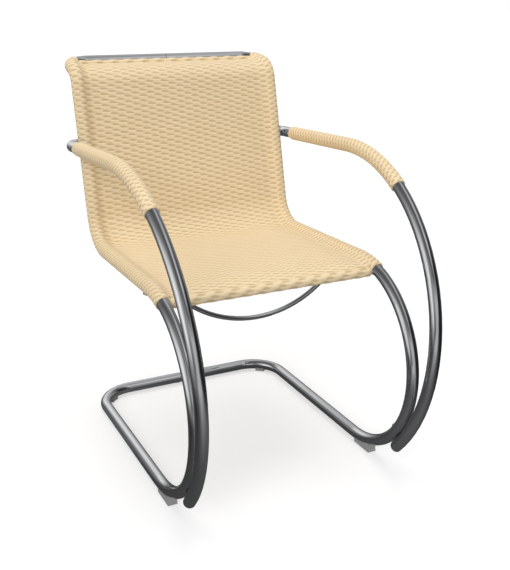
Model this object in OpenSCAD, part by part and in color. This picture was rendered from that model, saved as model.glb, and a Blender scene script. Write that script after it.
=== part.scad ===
// Cantilever lounge chair: a bent steel tube frame in two halves, a woven cane seat and back,
// and two looped arms partly wrapped with cane. All lengths are millimetres.
// X runs across the chair, Y from its front to its back and Z up from the floor.
// The origin lies on the floor under the middle of the chair.
// Points with two numbers are [y, z], counted from the middle of the front bend.

/* [Tube] */
// Outside diameter of the frame and arm tubes
tube_d = 25; // [22:0.5:28]
// Wall of the frame and arm tubes
tube_wall = 2; // [1.5:0.25:2.5]

/* [Base] */
// Width between the side tubes, centre to centre
seat_w = 470; // [440:5:520]
// Length of a floor tube, from the rear tube to the start of the front bend
floor_run = 442; // [400:1:480]
// Height of the base tubes over the floor
floor_gap = 3; // [2:0.5:5]
// Centre-line radius of the rear corners of the base
rear_corner_r = 81; // [60:1:100]
// Centre-line radius of the large front bends
front_r = 208; // [190:1:230]

/* [Seat and back] */
// Angle by which the seat drops towards the back
seat_slope = 1.4; // [0:0.1:4]
// Length of the seat, from the front bend to the corner under the back
seat_run = 355.5; // [320:0.5:390]
// Centre-line radius of the bend between the seat and the back
seat_bend_r = 80.5; // [60:0.5:100]
// Angle by which the back leans from upright
back_lean = 13.2; // [9:0.1:18]
// Length of the back, from the corner over the seat to the curl at the top
back_run = 356; // [320:1:400]
// Centre-line radius of the curl that turns the top backwards
curl_r = 41.5; // [36:0.5:60]
// Angle through which the curl turns
curl_angle = 65; // [50:1:72]
// Straight length between the curl and the top corners
curl_tail = 8.5; // [4:0.5:30]
// Centre-line radius of the top corners
top_corner_r = 45; // [40:1:60]

/* [Arms] */
// Centre-line radius of the large bend of an arm
arm_r = 355.5; // [330:0.5:380]
// Angle below the level at which an arm meets the front bend
contact_angle = 37.6; // [32:0.1:42]
// Length by which an arm runs on below that place
arm_foot = 28; // [18:1:40]
// Angle by which the arm rest drops towards the back
arm_slope = 2.65; // [0:0.05:6]
// Angle by which an arm opens outwards towards the back, seen from above
arm_splay = 0.4; // [0:0.1:1]
// Straight end of an arm behind the upright
arm_end = 11; // [9:1:24]
// Thickness of the saddle washer between an arm and the front bend
saddle_t = 1; // [0.8:0.1:3]
// Room between the end of an arm and the cane on the upright
return_gap = 1; // [0.6:0.1:4]

/* [Cane] */
// Thickness of the cane that is wound on the tubes
wrap_t = 2.8; // [2:0.1:4]
// Thickness of the woven cane of the seat and back
mat_t = 6; // [4:0.5:8]
// Angle round a side tube at which the weave starts to leave it
leave_angle = 45; // [35:1:50]
// Angle on the front bend at which the cane on a side tube starts
wrap_start = 108.5; // [107:0.5:114]
// Angle on the top corner at which that cane ends
wrap_stop = 43; // [40:1:60]
// Angle on the bend of an arm at which its cane sleeve starts
sleeve_start = 121.5; // [110:0.5:140]
// Distance between the back end of a cane sleeve and the elbow
sleeve_stop = 46; // [20:1:60]

/* [Edge rods] */
// Diameter of the rod across the front edge of the seat
front_rod_d = 16; // [12:0.5:18]
// Thickness of the cane roll round the front rod
front_roll_t = 3; // [2:0.25:4]
// Angle on the front bend at which the front rod lies
front_rod_angle = 105.5; // [100:0.5:106]
// Diameter of the rod across the top of the back
top_rod_d = 8; // [6:0.5:9]
// Thickness of the cane roll round the top rod
top_roll_t = 3.75; // [2:0.25:4]
// Distance between the top rod and the top rail, centre to centre
top_rod_gap = 20.6; // [20.6:0.2:24]

/* [Bows] */
// Diameter of the rods that brace the side tubes
bow_d = 10; // [8:0.5:12]
// Straight length at each end of a bow, between its tab and its first bend
bow_end_run = 16.4; // [10:0.2:30]
// Centre-line radius of the bends at the ends of a bow
bow_end_r = 20; // [14:1:28]
// Depth of the bow under the seat
seat_bow_depth = 88.3; // [60:0.1:95]
// Place of the bow under the seat, behind the front bend
seat_bow_at = 22.8; // [16:0.1:60]
// Depth of the bow behind the back
back_bow_depth = 70; // [40:1:90]
// Place of the bow behind the back, above the corner
back_bow_at = 150; // [110:1:170]
// Thickness of the flattened ends of a bow
tab_t = 4; // [3:0.5:6]
// Width of the flattened ends of a bow
tab_w = 16; // [14:1:20]

/* [Glides] */
// Width of the glides
glide_w = 20; // [14:1:22]
// Distance between the start of the front bend and the back of a front glide
front_glide_back = 20; // [14:1:30]
// Distance between the start of the front bend and the front of a front glide
front_glide_front = 78; // [60:1:90]
// Slant of a front glide's nose
glide_nose = 6; // [2:1:12]
// Length of a rear glide along its corner
rear_glide_l = 25; // [18:1:40]
// Angle round the rear corner at which a rear glide lies
rear_glide_angle = 50; // [30:1:60]
// Diameter of the pegs that hold the glides in the tubes
peg_d = 6; // [4:0.5:8]

/* [Fasteners] */
// Diameter of the screws that hold the arms and bows
screw_d = 6; // [5:0.5:7]
// Diameter of the screws in the joints of the frame
joint_screw_d = 4; // [3:0.5:5]
// Length of the sleeves inside the joints of the frame
sleeve_l = 80; // [60:5:120]

/* [Hidden] */

// Clearance between pieces that sit in or on each other
fit = 0.2;
// Gap of the butt joints between the two halves of the frame
joint_gap = 0.3;
// Overrun of a straight piece into the bend beside it
lap = 0.8;
// Amount by which a bend is slimmer than the straight piece beside it
nip = 0.03;
// Angle of the seam round a tube
seam_angle = 45;
// Overrun of cuts past the faces that they cut
over = 1;
// Thickness of the front edge of the weave, where it thins out over the front roll
mat_lip = 0.5;
// Amount by which the elbow's radius exceeds the arm's distance from the upright
elbow_slack = 1;
// Straight piece between two bends of a bow
bow_link = 2;
// Thickness of the caps that close the arms
cap_t = 2;
// Depth of the caps' stems inside the arms
cap_stem = 8;
// Wall of the sleeves inside the joints of the frame
sleeve_wall = 2;
// Depth of a glide's peg inside the tube
peg_depth = 3;
// Height of a screw's head as a share of the screw's diameter
head_h_share = 0.5;
// Width of a screw's head as a share of the screw's diameter
head_w_share = 1.8;
// Width, crimp width and depth of a rivet nut as shares of the screw's diameter
nut_w_share = 1.5;
crimp_w_share = 2;
nut_h_share = 2;
// Height of the crimp as a share of the nut's depth
crimp_h_share = 0.3;
// Width of a saddle washer as a share of the screw's diameter
washer_w_share = 2.4;
// Place of the joint screws along a sleeve, as a share of its length
joint_screw_share = 0.3;
// Facets of the hollow and of the cupped part of the weave's edge
hollow_steps = 5;
cup_steps = 6;

tube_r = tube_d / 2;
bore_r = tube_r - tube_wall;
wrap_in = tube_r + fit;
wrap_r = wrap_in + wrap_t;
wrap_room = wrap_r + fit;
floor_z = floor_gap + tube_r;

// Outline of a side tube, from the front bend round to the top rail
function polar(radius, angle) = radius * [cos(angle), sin(angle)];
seat_turn = 90 + seat_slope - back_lean;
bend_tangent = seat_bend_r * tan(seat_turn / 2);
seat_angle = 90 - seat_slope;
back_angle = 90 - back_lean;
tail_angle = back_angle - curl_angle;
arc_c = [0, floor_z + front_r];
seat_start = arc_c + polar(front_r, seat_angle);
corner = seat_start + polar(seat_run, -seat_slope);
curl_start = corner + polar(back_run, back_angle);
curl_c = curl_start + polar(curl_r, -back_lean);
curl_end = curl_c + polar(curl_r, 90 + tail_angle);
top_corner = curl_end + polar(curl_tail, tail_angle);
rail = top_corner + polar(top_corner_r, tail_angle);

// Outline of an arm, in its own plane
contact = arc_c - polar(front_r + tube_r + saddle_t / 2, contact_angle);
arm_c = arc_c + polar(arm_r - front_r - tube_d - saddle_t, contact_angle);
arm_start = 180 + contact_angle + arm_foot / arm_r * 180 / PI;
arm_top_angle = 90 - arm_slope;
arm_top = arm_c + polar(arm_r, arm_top_angle);
return_off = tube_r + wrap_r + return_gap;
elbow_r = return_off + elbow_slack;
back_normal = polar(1, -back_lean);
arm_reach = (return_off - (arm_top - corner) * back_normal) / cos(back_lean - arm_slope);
arm_run = arm_reach - elbow_r;
arm_back = arm_top + polar(arm_reach, -arm_slope);

// An arm leans outwards just enough to pass beside the cane on the upright
arm_rise = arm_back[1] - contact[1];
arm_depth = arm_back[0] - contact[0];
arm_tilt = asin((return_off - arm_depth * sin(arm_splay)) / (arm_rise * cos(arm_splay)));
return_z = contact[1] + return_off * sin(arm_tilt) + arm_rise * cos(arm_tilt);
return_at = ([arm_back[0], return_z] - corner) * polar(1, back_angle);

// Edge rods: the front one lies low enough for its roll to end level with the weave
front_roll_r = front_rod_d / 2 + front_roll_t;
front_drop = front_roll_r - mat_t / 2;
front_rod = arc_c + polar(front_r - front_drop, front_rod_angle);
top_roll_r = top_rod_d / 2 + top_roll_t;
top_rod_rise = top_corner_r - top_rod_gap;
top_rod = top_corner + polar(top_rod_rise, tail_angle);
top_rod_half = seat_w / 2 - top_corner_r + sqrt(pow(top_corner_r, 2) - pow(top_rod_rise, 2));

// Weave: it leaves each side tube on a hollow curve that ends level with the flat
hollow_r = (wrap_r * cos(leave_angle) - mat_t / 2) / (1 - cos(leave_angle));
hollow_reach = (wrap_r + hollow_r) * sin(leave_angle);
lip_back = sqrt(pow(front_roll_r + fit, 2) - pow(front_roll_r - mat_lip, 2));
mat_start = front_rod_angle - lip_back / front_r * 180 / PI;
mat_end = top_rod_rise - top_roll_r - fit;

// The chair's depth sets the origin
front_y = min(arm_c[0] - arm_r, -front_r) - tube_r;
back_y = rail[0] + tube_r;
mid_y = (front_y + back_y) / 2;

// Steps of a bent tube: a straight length, or a bend with its radius, angle and roll
function run(length) = [length];
function turn(radius, angle, roll = 0) = [radius, angle, roll];

frame_steps = [
  run(seat_w / 2 - rear_corner_r - joint_gap / 2 - lap),
  turn(rear_corner_r, 90, -90),
  run(floor_run - rear_corner_r),
  turn(front_r, 180 + seat_slope),
  run(seat_run - bend_tangent),
  turn(seat_bend_r, seat_turn, 180),
  run(back_run - bend_tangent),
  turn(curl_r, curl_angle),
  run(curl_tail),
  turn(top_corner_r, 90, -90),
  run(seat_w / 2 - top_corner_r - joint_gap / 2 - lap)
];
arm_steps = [
  turn(arm_r, arm_start - arm_top_angle),
  run(arm_run),
  turn(elbow_r, 90, -90),
  run(arm_end - lap)
];
wrap_steps = [
  turn(front_r, wrap_start - seat_angle),
  run(seat_run - bend_tangent),
  turn(seat_bend_r, seat_turn, 180),
  run(back_run - bend_tangent),
  turn(curl_r, curl_angle),
  run(curl_tail),
  turn(top_corner_r, wrap_stop, -90)
];
mat_steps = [
  turn(front_r, mat_start - seat_angle),
  run(seat_run - bend_tangent),
  turn(seat_bend_r, seat_turn, 180),
  run(back_run - bend_tangent),
  turn(curl_r, curl_angle),
  run(curl_tail - lap)
];
sleeve_steps = [
  turn(arm_r, sleeve_start - arm_top_angle),
  run(arm_run - sleeve_stop)
];

// Sweep along steps: the first child is the straight piece of a run, of the length $run and
// standing on the origin, and the second child is the section of the bends. A path starts at
// the origin and runs up Z, and an unrolled bend turns towards +X. The sections are the same
// when they are turned half round.
module sweep(steps, i = 0) {
  if (i < len(steps)) {
    step = steps[i];
    if (len(step) == 1) {
      let ($run = step[0]) children(0);
      translate([0, 0, step[0]]) sweep(steps, i + 1) {
        children(0);
        children(1);
      }
    } else rotate([0, 0, step[2]]) {
      translate([step[0], 0, 0]) rotate([90, 0, 0]) rotate([0, 0, 180 - step[1]])
        rotate_extrude(angle = step[1], $fn = 96) translate([step[0], 0]) children(1);
      translate([step[0], 0, 0]) rotate([0, step[1], 0]) translate([-step[0], 0, 0])
        rotate([0, 0, -step[2]]) sweep(steps, i + 1) {
          children(0);
          children(1);
        }
    }
  }
}

// Bent tube: its bends are slimmer than its runs by the nip, and each run tapers into the
// bends beside it. The seam is turned away from the holes through the tube's crests.
module bent_tube(steps, outer, inner) {
  sweep(steps) {
    rotate([0, 0, seam_angle]) rotate_extrude($fn = 48) polygon([
      [inner + 2 * nip, -lap],
      [outer - 2 * nip, -lap],
      [outer, 0],
      [outer, $run],
      [outer - 2 * nip, $run + lap],
      [inner + 2 * nip, $run + lap],
      [inner, $run],
      [inner, 0]
    ]);
    rotate(seam_angle) difference() {
      circle(r = outer - nip, $fn = 48);
      circle(r = inner + nip, $fn = 48);
    }
  }
}

module bent_rod(steps, radius) {
  sweep(steps) {
    rotate([0, 0, seam_angle]) rotate_extrude($fn = 32) polygon([
      [0, -lap],
      [radius - 2 * nip, -lap],
      [radius, 0],
      [radius, $run],
      [radius - 2 * nip, $run + lap],
      [0, $run + lap]
    ]);
    rotate(seam_angle) circle(r = radius - nip, $fn = 32);
  }
}

// Places: everything is drawn for the left half of the chair and mirrored
module place() translate([0, -mid_y, 0]) children();
module left() translate([-seat_w / 2, 0, 0]) children();
module both() {
  children();
  mirror([1, 0, 0]) children();
}
module at(point, angle = 0) translate([0, point[0], point[1]]) rotate([angle, 0, 0]) children();
module at_bend(middle, radius, angle) {
  at(middle, angle - 270) translate([0, 0, -radius]) rotate([0, -90, 90]) children();
}
module in_arm() {
  left() translate([0, contact[0], contact[1]]) rotate([0, -arm_tilt, arm_splay])
    translate([0, -contact[0], -contact[1]]) children();
}

// Solid tubes along the front bend and the top corner, which cope what butts against them
module front_bend_solid(radius) {
  left() translate([0, arc_c[0], arc_c[1]]) rotate([0, 90, 0])
    rotate_extrude($fn = 96) translate([front_r, 0]) circle(r = radius, $fn = 48);
}
module top_corner_solid(radius) {
  translate([top_corner_r - seat_w / 2, 0, 0]) at(top_corner, tail_angle) rotate([0, 0, 90])
    rotate_extrude(angle = 90, $fn = 96) translate([top_corner_r, 0])
      circle(r = radius, $fn = 48);
}

// Screwed joints: each frame has the threaded tube's middle at its origin and its Z axis
// along the screw, whose head is at head_z below
lower_head_z = -(tube_r + saddle_t + tube_d);
upper_head_z = -(return_off + tube_r);
bow_head_z = -(wrap_r + fit + tab_t);
module at_lower_arm() {
  left() at(contact, 90 + contact_angle) translate([0, 0, tube_r + saddle_t / 2]) children();
}
module at_upper_arm() left() at(corner + polar(return_at, back_angle), back_angle) children();
module at_seat_bow() {
  left() at(seat_start + polar(seat_bow_at, -seat_slope), -seat_slope) children();
}
module at_back_bow() {
  left() at(corner + polar(back_bow_at, back_angle), back_angle) children();
}

module bolt_hole(head_z) {
  translate([0, 0, head_z - over])
    cylinder(r = screw_d / 2 + fit, h = over - head_z - tube_r + over, $fn = 32);
}
module nut_hole() {
  translate([0, 0, -tube_r - over])
    cylinder(r = nut_w_share * screw_d / 2 + fit, h = tube_r + over, $fn = 32);
}

// Screw with a domed head, its stem running up Z from the head's seat
module screw(diameter, length) {
  head_r = head_w_share * diameter / 2;
  head_h = head_h_share * diameter;
  dome_r = (pow(head_r, 2) + pow(head_h, 2)) / (2 * head_h);
  cylinder(d = diameter, h = length, $fn = 32);
  rotate_extrude($fn = 48) intersection() {
    translate([0, -head_h]) square([head_r, head_h]);
    translate([0, dome_r - head_h]) circle(r = dome_r, $fn = 96);
  }
}
module bolt(head_z) {
  grip = -head_z - tube_r;
  translate([0, 0, head_z - fit]) screw(screw_d, grip + nut_h_share * screw_d);
}
module rivet_nut() {
  nut_h = nut_h_share * screw_d;
  crimp_r = crimp_w_share * screw_d / 2;
  crimp_drop = sqrt(pow(bore_r, 2) - pow(crimp_r, 2)) - fit;
  difference() {
    union() {
      translate([0, 0, -tube_r + fit]) cylinder(d = nut_w_share * screw_d, h = nut_h, $fn = 32);
      translate([0, 0, -crimp_drop]) cylinder(r = crimp_r, h = crimp_h_share * nut_h, $fn = 32);
    }
    translate([0, 0, -tube_d]) cylinder(d = screw_d + fit, h = 2 * tube_d, $fn = 32);
  }
}

// Frame
module frame_half() {
  difference() {
    translate([-joint_gap / 2 - lap, floor_run, floor_z]) rotate([0, -90, 0])
      bent_tube(frame_steps, tube_r, bore_r);
    at_lower_arm() bolt_hole(lower_head_z);
    at_upper_arm() nut_hole();
    at_seat_bow() nut_hole();
    at_back_bow() nut_hole();
    front_glide_peg(fit);
    rear_glide_peg(fit);
    for (middle = [[floor_run, floor_z], rail])
      joint_screw_place(middle) joint_screw_hole();
  }
}
module frame_left() color("silver") place() frame_half();
module frame_right() color("silver") place() mirror([1, 0, 0]) frame_half();

// Joints of the frame: a sleeve inside the two butted tubes and a screw up through each
module joint_screw_place(middle) {
  translate([-joint_screw_share * sleeve_l, middle[0], middle[1]]) children();
}
module joint_screw_hole() {
  translate([0, 0, -tube_d]) cylinder(d = joint_screw_d + 2 * fit, h = tube_d, $fn = 32);
}
module joint_sleeve(middle) {
  difference() {
    translate([-sleeve_l / 2, middle[0], middle[1]]) rotate([0, 90, 0]) difference() {
      cylinder(r = bore_r - fit, h = sleeve_l, $fn = 48);
      translate([0, 0, -over])
        cylinder(r = bore_r - fit - sleeve_wall, h = sleeve_l + 2 * over, $fn = 48);
    }
    both() joint_screw_place(middle) joint_screw_hole();
  }
}
module top_joint_sleeve() color("gray") place() joint_sleeve(rail);
module rear_joint_sleeve() color("gray") place() joint_sleeve([floor_run, floor_z]);
module joint_screws() {
  color("silver") place() both() for (middle = [[floor_run, floor_z], rail])
    joint_screw_place(middle) translate([0, 0, -tube_r - fit])
      screw(joint_screw_d, tube_wall + sleeve_wall + joint_screw_d);
}

// Edge rods, coped to the side tubes
module front_rod_shape(radius, room) {
  half = seat_w / 2 - sqrt(pow(room, 2) - pow(front_drop, 2));
  difference() {
    translate([-half, front_rod[0], front_rod[1]]) rotate([0, 90, 0])
      cylinder(r = radius, h = 2 * half, $fn = 48);
    both() front_bend_solid(room);
  }
}
module top_rod_shape(radius, room) {
  difference() {
    translate([-top_rod_half, top_rod[0], top_rod[1]]) rotate([0, 90, 0])
      cylinder(r = radius, h = 2 * top_rod_half, $fn = 48);
    both() top_corner_solid(room);
  }
}
module front_edge_rod() color("silver") place() front_rod_shape(front_rod_d / 2, tube_r + fit);
module top_edge_rod() color("silver") place() top_rod_shape(top_rod_d / 2, tube_r + fit);

// Bows: a rod bent down from under one side tube and up to the other. Each end is a flat tab
// that reaches in from the middle of the side tube, and a cone joins it to the rod. The width
// left between the straight ends and the depth give the bow's radius.
tab_l = 2 * wrap_r - tab_w / 2;
tab_z = -(wrap_r + fit + tab_t / 2);
module bow(depth) {
  rod_half = seat_w / 2 - tab_l;
  half_bend = atan(depth / (rod_half - bow_end_run + bow_link));
  bend_sum = (depth / sin(half_bend) / 2 - bow_link * cos(half_bend)) / sin(half_bend);
  steps = [
    run(bow_end_run - lap),
    turn(bow_end_r, 2 * half_bend),
    run(bow_link),
    turn(bend_sum - bow_end_r, 4 * half_bend, 180),
    run(bow_link),
    turn(bow_end_r, 2 * half_bend),
    run(bow_end_run - lap)
  ];
  difference() {
    translate([0, 0, tab_z]) {
      translate([lap - rod_half, 0, 0]) rotate([0, 90, 0]) bent_rod(steps, bow_d / 2);
      both() bow_tab(rod_half);
    }
    both() translate([-seat_w / 2, 0, 0]) bolt_hole(bow_head_z);
  }
}
module bow_tab(inner) {
  outer = seat_w / 2;
  translate([-outer, 0, -tab_t / 2]) cylinder(d = tab_w, h = tab_t, $fn = 48);
  translate([-outer, -tab_w / 2, -tab_t / 2]) cube([outer - inner, tab_w, tab_t]);
  translate([lap - inner, 0, 0]) rotate([0, -90, 0])
    cylinder(r1 = bow_d / 2 - nip, r2 = tab_t / 2, h = bow_d, $fn = 48);
}
module seat_bow() {
  color("silver") place()
    at(seat_start + polar(seat_bow_at, -seat_slope), -seat_slope) bow(seat_bow_depth);
}
module back_bow() {
  color("silver") place()
    at(corner + polar(back_bow_at, back_angle), back_angle) bow(back_bow_depth);
}
module seat_bow_screws() color("silver") place() both() at_seat_bow() bolt(bow_head_z);
module back_bow_screws() color("silver") place() both() at_back_bow() bolt(bow_head_z);

// Arms
module arm() {
  difference() {
    in_arm() at_bend(arm_c, arm_r, arm_start) bent_tube(arm_steps, tube_r, bore_r);
    at_lower_arm() nut_hole();
    at_upper_arm() bolt_hole(upper_head_z);
  }
}
module arm_left() color("silver") place() arm();
module arm_right() color("silver") place() mirror([1, 0, 0]) arm();

// Cap with a stem that runs up Z into the tube
module cap() {
  dome_r = (pow(tube_r, 2) + pow(cap_t, 2)) / (2 * cap_t);
  translate([0, 0, -fit]) {
    cylinder(r = bore_r - fit, h = cap_stem, $fn = 48);
    rotate_extrude($fn = 48) intersection() {
      translate([0, -cap_t]) square([tube_r, cap_t]);
      translate([0, dome_r - cap_t]) circle(r = dome_r, $fn = 96);
    }
  }
}
module arm_lower_plugs() {
  color("dimgray") place() both() in_arm() at_bend(arm_c, arm_r, arm_start) cap();
}
module arm_upper_plugs() {
  color("dimgray") place() both() in_arm()
    translate([elbow_r + arm_end, arm_back[0], arm_back[1]]) rotate([0, -90, 0]) cap();
}
module arm_lower_screws() color("silver") place() both() at_lower_arm() bolt(lower_head_z);
module arm_upper_screws() color("silver") place() both() at_upper_arm() bolt(upper_head_z);

// Saddle washers, hollowed by the tubes on both sides
module arm_lower_washers() {
  washer_r = washer_w_share * screw_d / 2;
  color("dimgray") place() both() difference() {
    at_lower_arm() translate([0, 0, -tube_r - saddle_t / 2 - washer_r / 2])
      cylinder(r = washer_r, h = washer_r, $fn = 48);
    front_bend_solid(tube_r + nip);
    in_arm() at_bend(arm_c, arm_r, arm_start) bent_rod([arm_steps[0]], tube_r + 2 * nip);
    at_lower_arm() bolt_hole(lower_head_z);
  }
}
module rivet_nuts() {
  color("gray") place() both() {
    at_lower_arm() rivet_nut();
    at_upper_arm() rivet_nut();
    at_seat_bow() rivet_nut();
    at_back_bow() rivet_nut();
  }
}

// Cane wound on the arms
module arm_wrap() {
  in_arm() at_bend(arm_c, arm_r, sleeve_start) bent_tube(sleeve_steps, wrap_r, wrap_in);
}
module arm_wrap_left() color("burlywood") place() arm_wrap();
module arm_wrap_right() color("burlywood") place() mirror([1, 0, 0]) arm_wrap();

// Cane wound on the side tubes, with room for the edge rods and the screws
module cane_wrap() {
  rod_end = seat_w / 2 - sqrt(pow(tube_r, 2) - pow(front_drop, 2));
  difference() {
    left() at_bend(arc_c, front_r, wrap_start) bent_tube(wrap_steps, wrap_r, wrap_in);
    translate([-rod_end, front_rod[0], front_rod[1]]) rotate([0, 90, 0])
      cylinder(r = front_rod_d / 2 + fit, h = wrap_r, $fn = 48);
    translate([-top_rod_half, top_rod[0], top_rod[1]]) rotate([0, 90, 0])
      cylinder(r = top_rod_d / 2 + fit, h = 2 * wrap_r, $fn = 48);
    at_upper_arm() bolt_hole(-wrap_r);
    at_seat_bow() bolt_hole(-wrap_r);
    at_back_bow() bolt_hole(-wrap_r);
  }
}
module cane_wrap_left() color("burlywood") place() cane_wrap();
module cane_wrap_right() color("burlywood") place() mirror([1, 0, 0]) cane_wrap();

// Section of the weave: thickness along X and width along Y, slimmer by the given amount.
// Beside each side tube it swells on a hollow curve to a thin tip, and between the two tips
// it follows the cane round the tube.
function hollow_c(slim) = [mat_t / 2 + hollow_r - slim, hollow_reach];
function tip_turn(slim) =
  let (c = hollow_c(slim), far = norm(c), room = wrap_room + slim)
  atan2(c[1], c[0]) - acos((pow(hollow_r, 2) + pow(far, 2) - pow(room, 2)) / (2 * hollow_r * far));
function cup_turn(slim) =
  asin((hollow_c(slim)[0] - hollow_r * cos(tip_turn(slim))) / (wrap_room + slim));
function hollow_edge(slim, side) = [
  for (i = [0 : hollow_steps])
    let (a = tip_turn(slim) * (side > 0 ? i : hollow_steps - i) / hollow_steps)
    [side * (hollow_c(slim)[0] - hollow_r * cos(a)), seat_w / 2 - hollow_reach + hollow_r * sin(a)]
];
function cup_edge(slim) = [
  for (i = [1 : cup_steps - 1])
    let (a = cup_turn(slim) * (1 - 2 * i / cup_steps))
    [(wrap_room + slim) * sin(a), seat_w / 2 - (wrap_room + slim) * cos(a)]
];
module mat_section(slim = 0) {
  right = concat(hollow_edge(slim, 1), cup_edge(slim), hollow_edge(slim, -1));
  count = len(right);
  polygon(concat(right, [for (i = [1 : count]) [right[count - i][0], -right[count - i][1]]]));
}

// Woven seat and back. Its front end thins out over the front roll, and above the side
// tubes a flat strip runs on between the top corners.
module cane_mat() {
  strip_half = seat_w / 2 - wrap_room - over;
  color("burlywood") place() {
    difference() {
      at_bend(arc_c, front_r, mat_start) sweep(mat_steps) {
        translate([0, 0, -lap]) linear_extrude(height = $run + 2 * lap) mat_section();
        mat_section(nip);
      }
      translate([-seat_w / 2, front_rod[0], front_rod[1]]) rotate([0, 90, 0])
        cylinder(r = front_roll_r + fit, h = seat_w, $fn = 96);
    }
    difference() {
      translate([-strip_half, 0, 0]) at(top_corner, tail_angle)
        translate([0, -2 * lap, nip - mat_t / 2])
          cube([2 * strip_half, mat_end + 2 * lap, mat_t - 2 * nip]);
      both() top_corner_solid(wrap_room);
    }
  }
}

// Rolls of cane round the edge rods
module cane_front_roll() {
  color("burlywood") place() difference() {
    front_rod_shape(front_roll_r, wrap_room);
    translate([-seat_w / 2, front_rod[0], front_rod[1]]) rotate([0, 90, 0])
      cylinder(r = front_rod_d / 2 + fit, h = seat_w, $fn = 48);
  }
}
module cane_top_roll() {
  color("burlywood") place() difference() {
    top_rod_shape(top_roll_r, wrap_room);
    translate([-seat_w / 2, top_rod[0], top_rod[1]]) rotate([0, 90, 0])
      cylinder(r = top_rod_d / 2 + fit, h = seat_w, $fn = 48);
  }
}

// Glides: the front ones are wedges under the start of the front bend
glide_middle = (front_glide_back + front_glide_front) / 2;
function bend_z(y) = arc_c[1] - sqrt(pow(front_r, 2) - pow(y, 2));
module front_glide_peg(room = 0) {
  left() at(arc_c, -asin(glide_middle / front_r)) translate([0, 0, -front_r - tube_r - over])
    cylinder(d = peg_d + 2 * room, h = over + tube_wall + peg_depth, $fn = 32);
}
module front_glide() {
  nose_top = front_glide_front - glide_nose;
  difference() {
    left() translate([-glide_w / 2, 0, 0]) rotate([90, 0, 90])
      linear_extrude(height = glide_w) polygon([
        [-front_glide_back, 0],
        [-front_glide_back, bend_z(front_glide_back)],
        [-nose_top, bend_z(nose_top)],
        [-front_glide_front, 0]
      ]);
    front_bend_solid(tube_r + fit);
  }
  front_glide_peg();
}

// The rear ones follow the rear corners
module at_rear_corner() {
  translate([rear_corner_r - seat_w / 2, floor_run - rear_corner_r, 0])
    rotate([0, 0, 180 - rear_glide_angle]) children();
}
module rear_glide_peg(room = 0) {
  at_rear_corner() translate([rear_corner_r, 0, floor_gap - over])
    cylinder(d = peg_d + 2 * room, h = over + tube_wall + peg_depth, $fn = 32);
}
module rear_glide() {
  sweep_angle = rear_glide_l / rear_corner_r * 180 / PI;
  at_rear_corner() rotate([0, 0, -sweep_angle / 2])
    rotate_extrude(angle = sweep_angle, $fn = 96) difference() {
      translate([rear_corner_r - glide_w / 2, 0]) square([glide_w, floor_z]);
      translate([rear_corner_r, floor_z]) circle(r = tube_r + fit, $fn = 48);
    }
  rear_glide_peg();
}
module glide_front_left() color("gray") place() front_glide();
module glide_front_right() color("gray") place() mirror([1, 0, 0]) front_glide();
module glide_rear_left() color("gray") place() rear_glide();
module glide_rear_right() color("gray") place() mirror([1, 0, 0]) rear_glide();

frame_left();
frame_right();
top_joint_sleeve();
rear_joint_sleeve();
joint_screws();
front_edge_rod();
top_edge_rod();
seat_bow();
seat_bow_screws();
back_bow();
back_bow_screws();
arm_left();
arm_right();
arm_lower_plugs();
arm_upper_plugs();
arm_lower_screws();
arm_lower_washers();
arm_upper_screws();
rivet_nuts();
arm_wrap_left();
arm_wrap_right();
cane_wrap_left();
cane_wrap_right();
cane_mat();
cane_front_roll();
cane_top_roll();
glide_front_left();
glide_front_right();
glide_rear_left();
glide_rear_right();
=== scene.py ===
"""Cantilever lounge chair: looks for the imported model. Lengths are metres, angles are degrees."""

from math import asin, atan, atan2, ceil, cos, degrees, pi, radians, sin, sqrt

import bpy
import numpy as np
from mathutils import Matrix, Vector


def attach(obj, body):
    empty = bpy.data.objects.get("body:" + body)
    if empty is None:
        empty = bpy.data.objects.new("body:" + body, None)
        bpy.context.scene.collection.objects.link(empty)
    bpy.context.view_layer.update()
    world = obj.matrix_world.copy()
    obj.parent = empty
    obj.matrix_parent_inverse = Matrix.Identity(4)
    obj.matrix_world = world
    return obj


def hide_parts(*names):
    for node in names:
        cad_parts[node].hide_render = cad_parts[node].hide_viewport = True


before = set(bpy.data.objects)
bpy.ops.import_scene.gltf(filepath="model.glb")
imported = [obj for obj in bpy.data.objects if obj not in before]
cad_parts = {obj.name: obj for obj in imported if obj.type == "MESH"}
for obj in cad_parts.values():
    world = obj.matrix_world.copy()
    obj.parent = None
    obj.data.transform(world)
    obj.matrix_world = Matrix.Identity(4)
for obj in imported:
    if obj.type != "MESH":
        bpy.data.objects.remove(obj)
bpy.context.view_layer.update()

# The chair's own sizes, as in its CAD model
TUBE_R = 0.0125
WRAP_R = 0.0155
WEAVE_T = 0.006
SEAT_W = 0.470
FLOOR_GAP = 0.003
FLOOR_RUN = 0.442
REAR_CORNER_R = 0.081
JOINT_GAP = 0.0003
FRONT_R = 0.208
SEAT_SLOPE = 1.4
SEAT_RUN = 0.3555
SEAT_BEND_R = 0.0805
BACK_LEAN = 13.2
BACK_RUN = 0.356
CURL_R = 0.0415
CURL_ANGLE = 65
CURL_TAIL = 0.0085
TOP_CORNER_R = 0.045
MID_Y = 0.13341

ARM_R = 0.3555
CONTACT_ANGLE = 37.6
ARM_FOOT = 0.028
ARM_SLOPE = 2.65
ARM_SPLAY = 0.4
ARM_END = 0.011
SADDLE_T = 0.001
RETURN_GAP = 0.001
ELBOW_SLACK = 0.001

LEAVE_ANGLE = 45
WRAP_START = 108.5
WRAP_STOP = 43
SLEEVE_START = 121.5
SLEEVE_STOP = 0.046
FRONT_ROD_ANGLE = 105.5
FRONT_ROD_R = 0.008
FRONT_ROLL_R = 0.011
TOP_ROD_R = 0.004
TOP_ROLL_R = 0.00775
TOP_ROD_GAP = 0.0206
CLEARANCE = 0.0002

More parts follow.
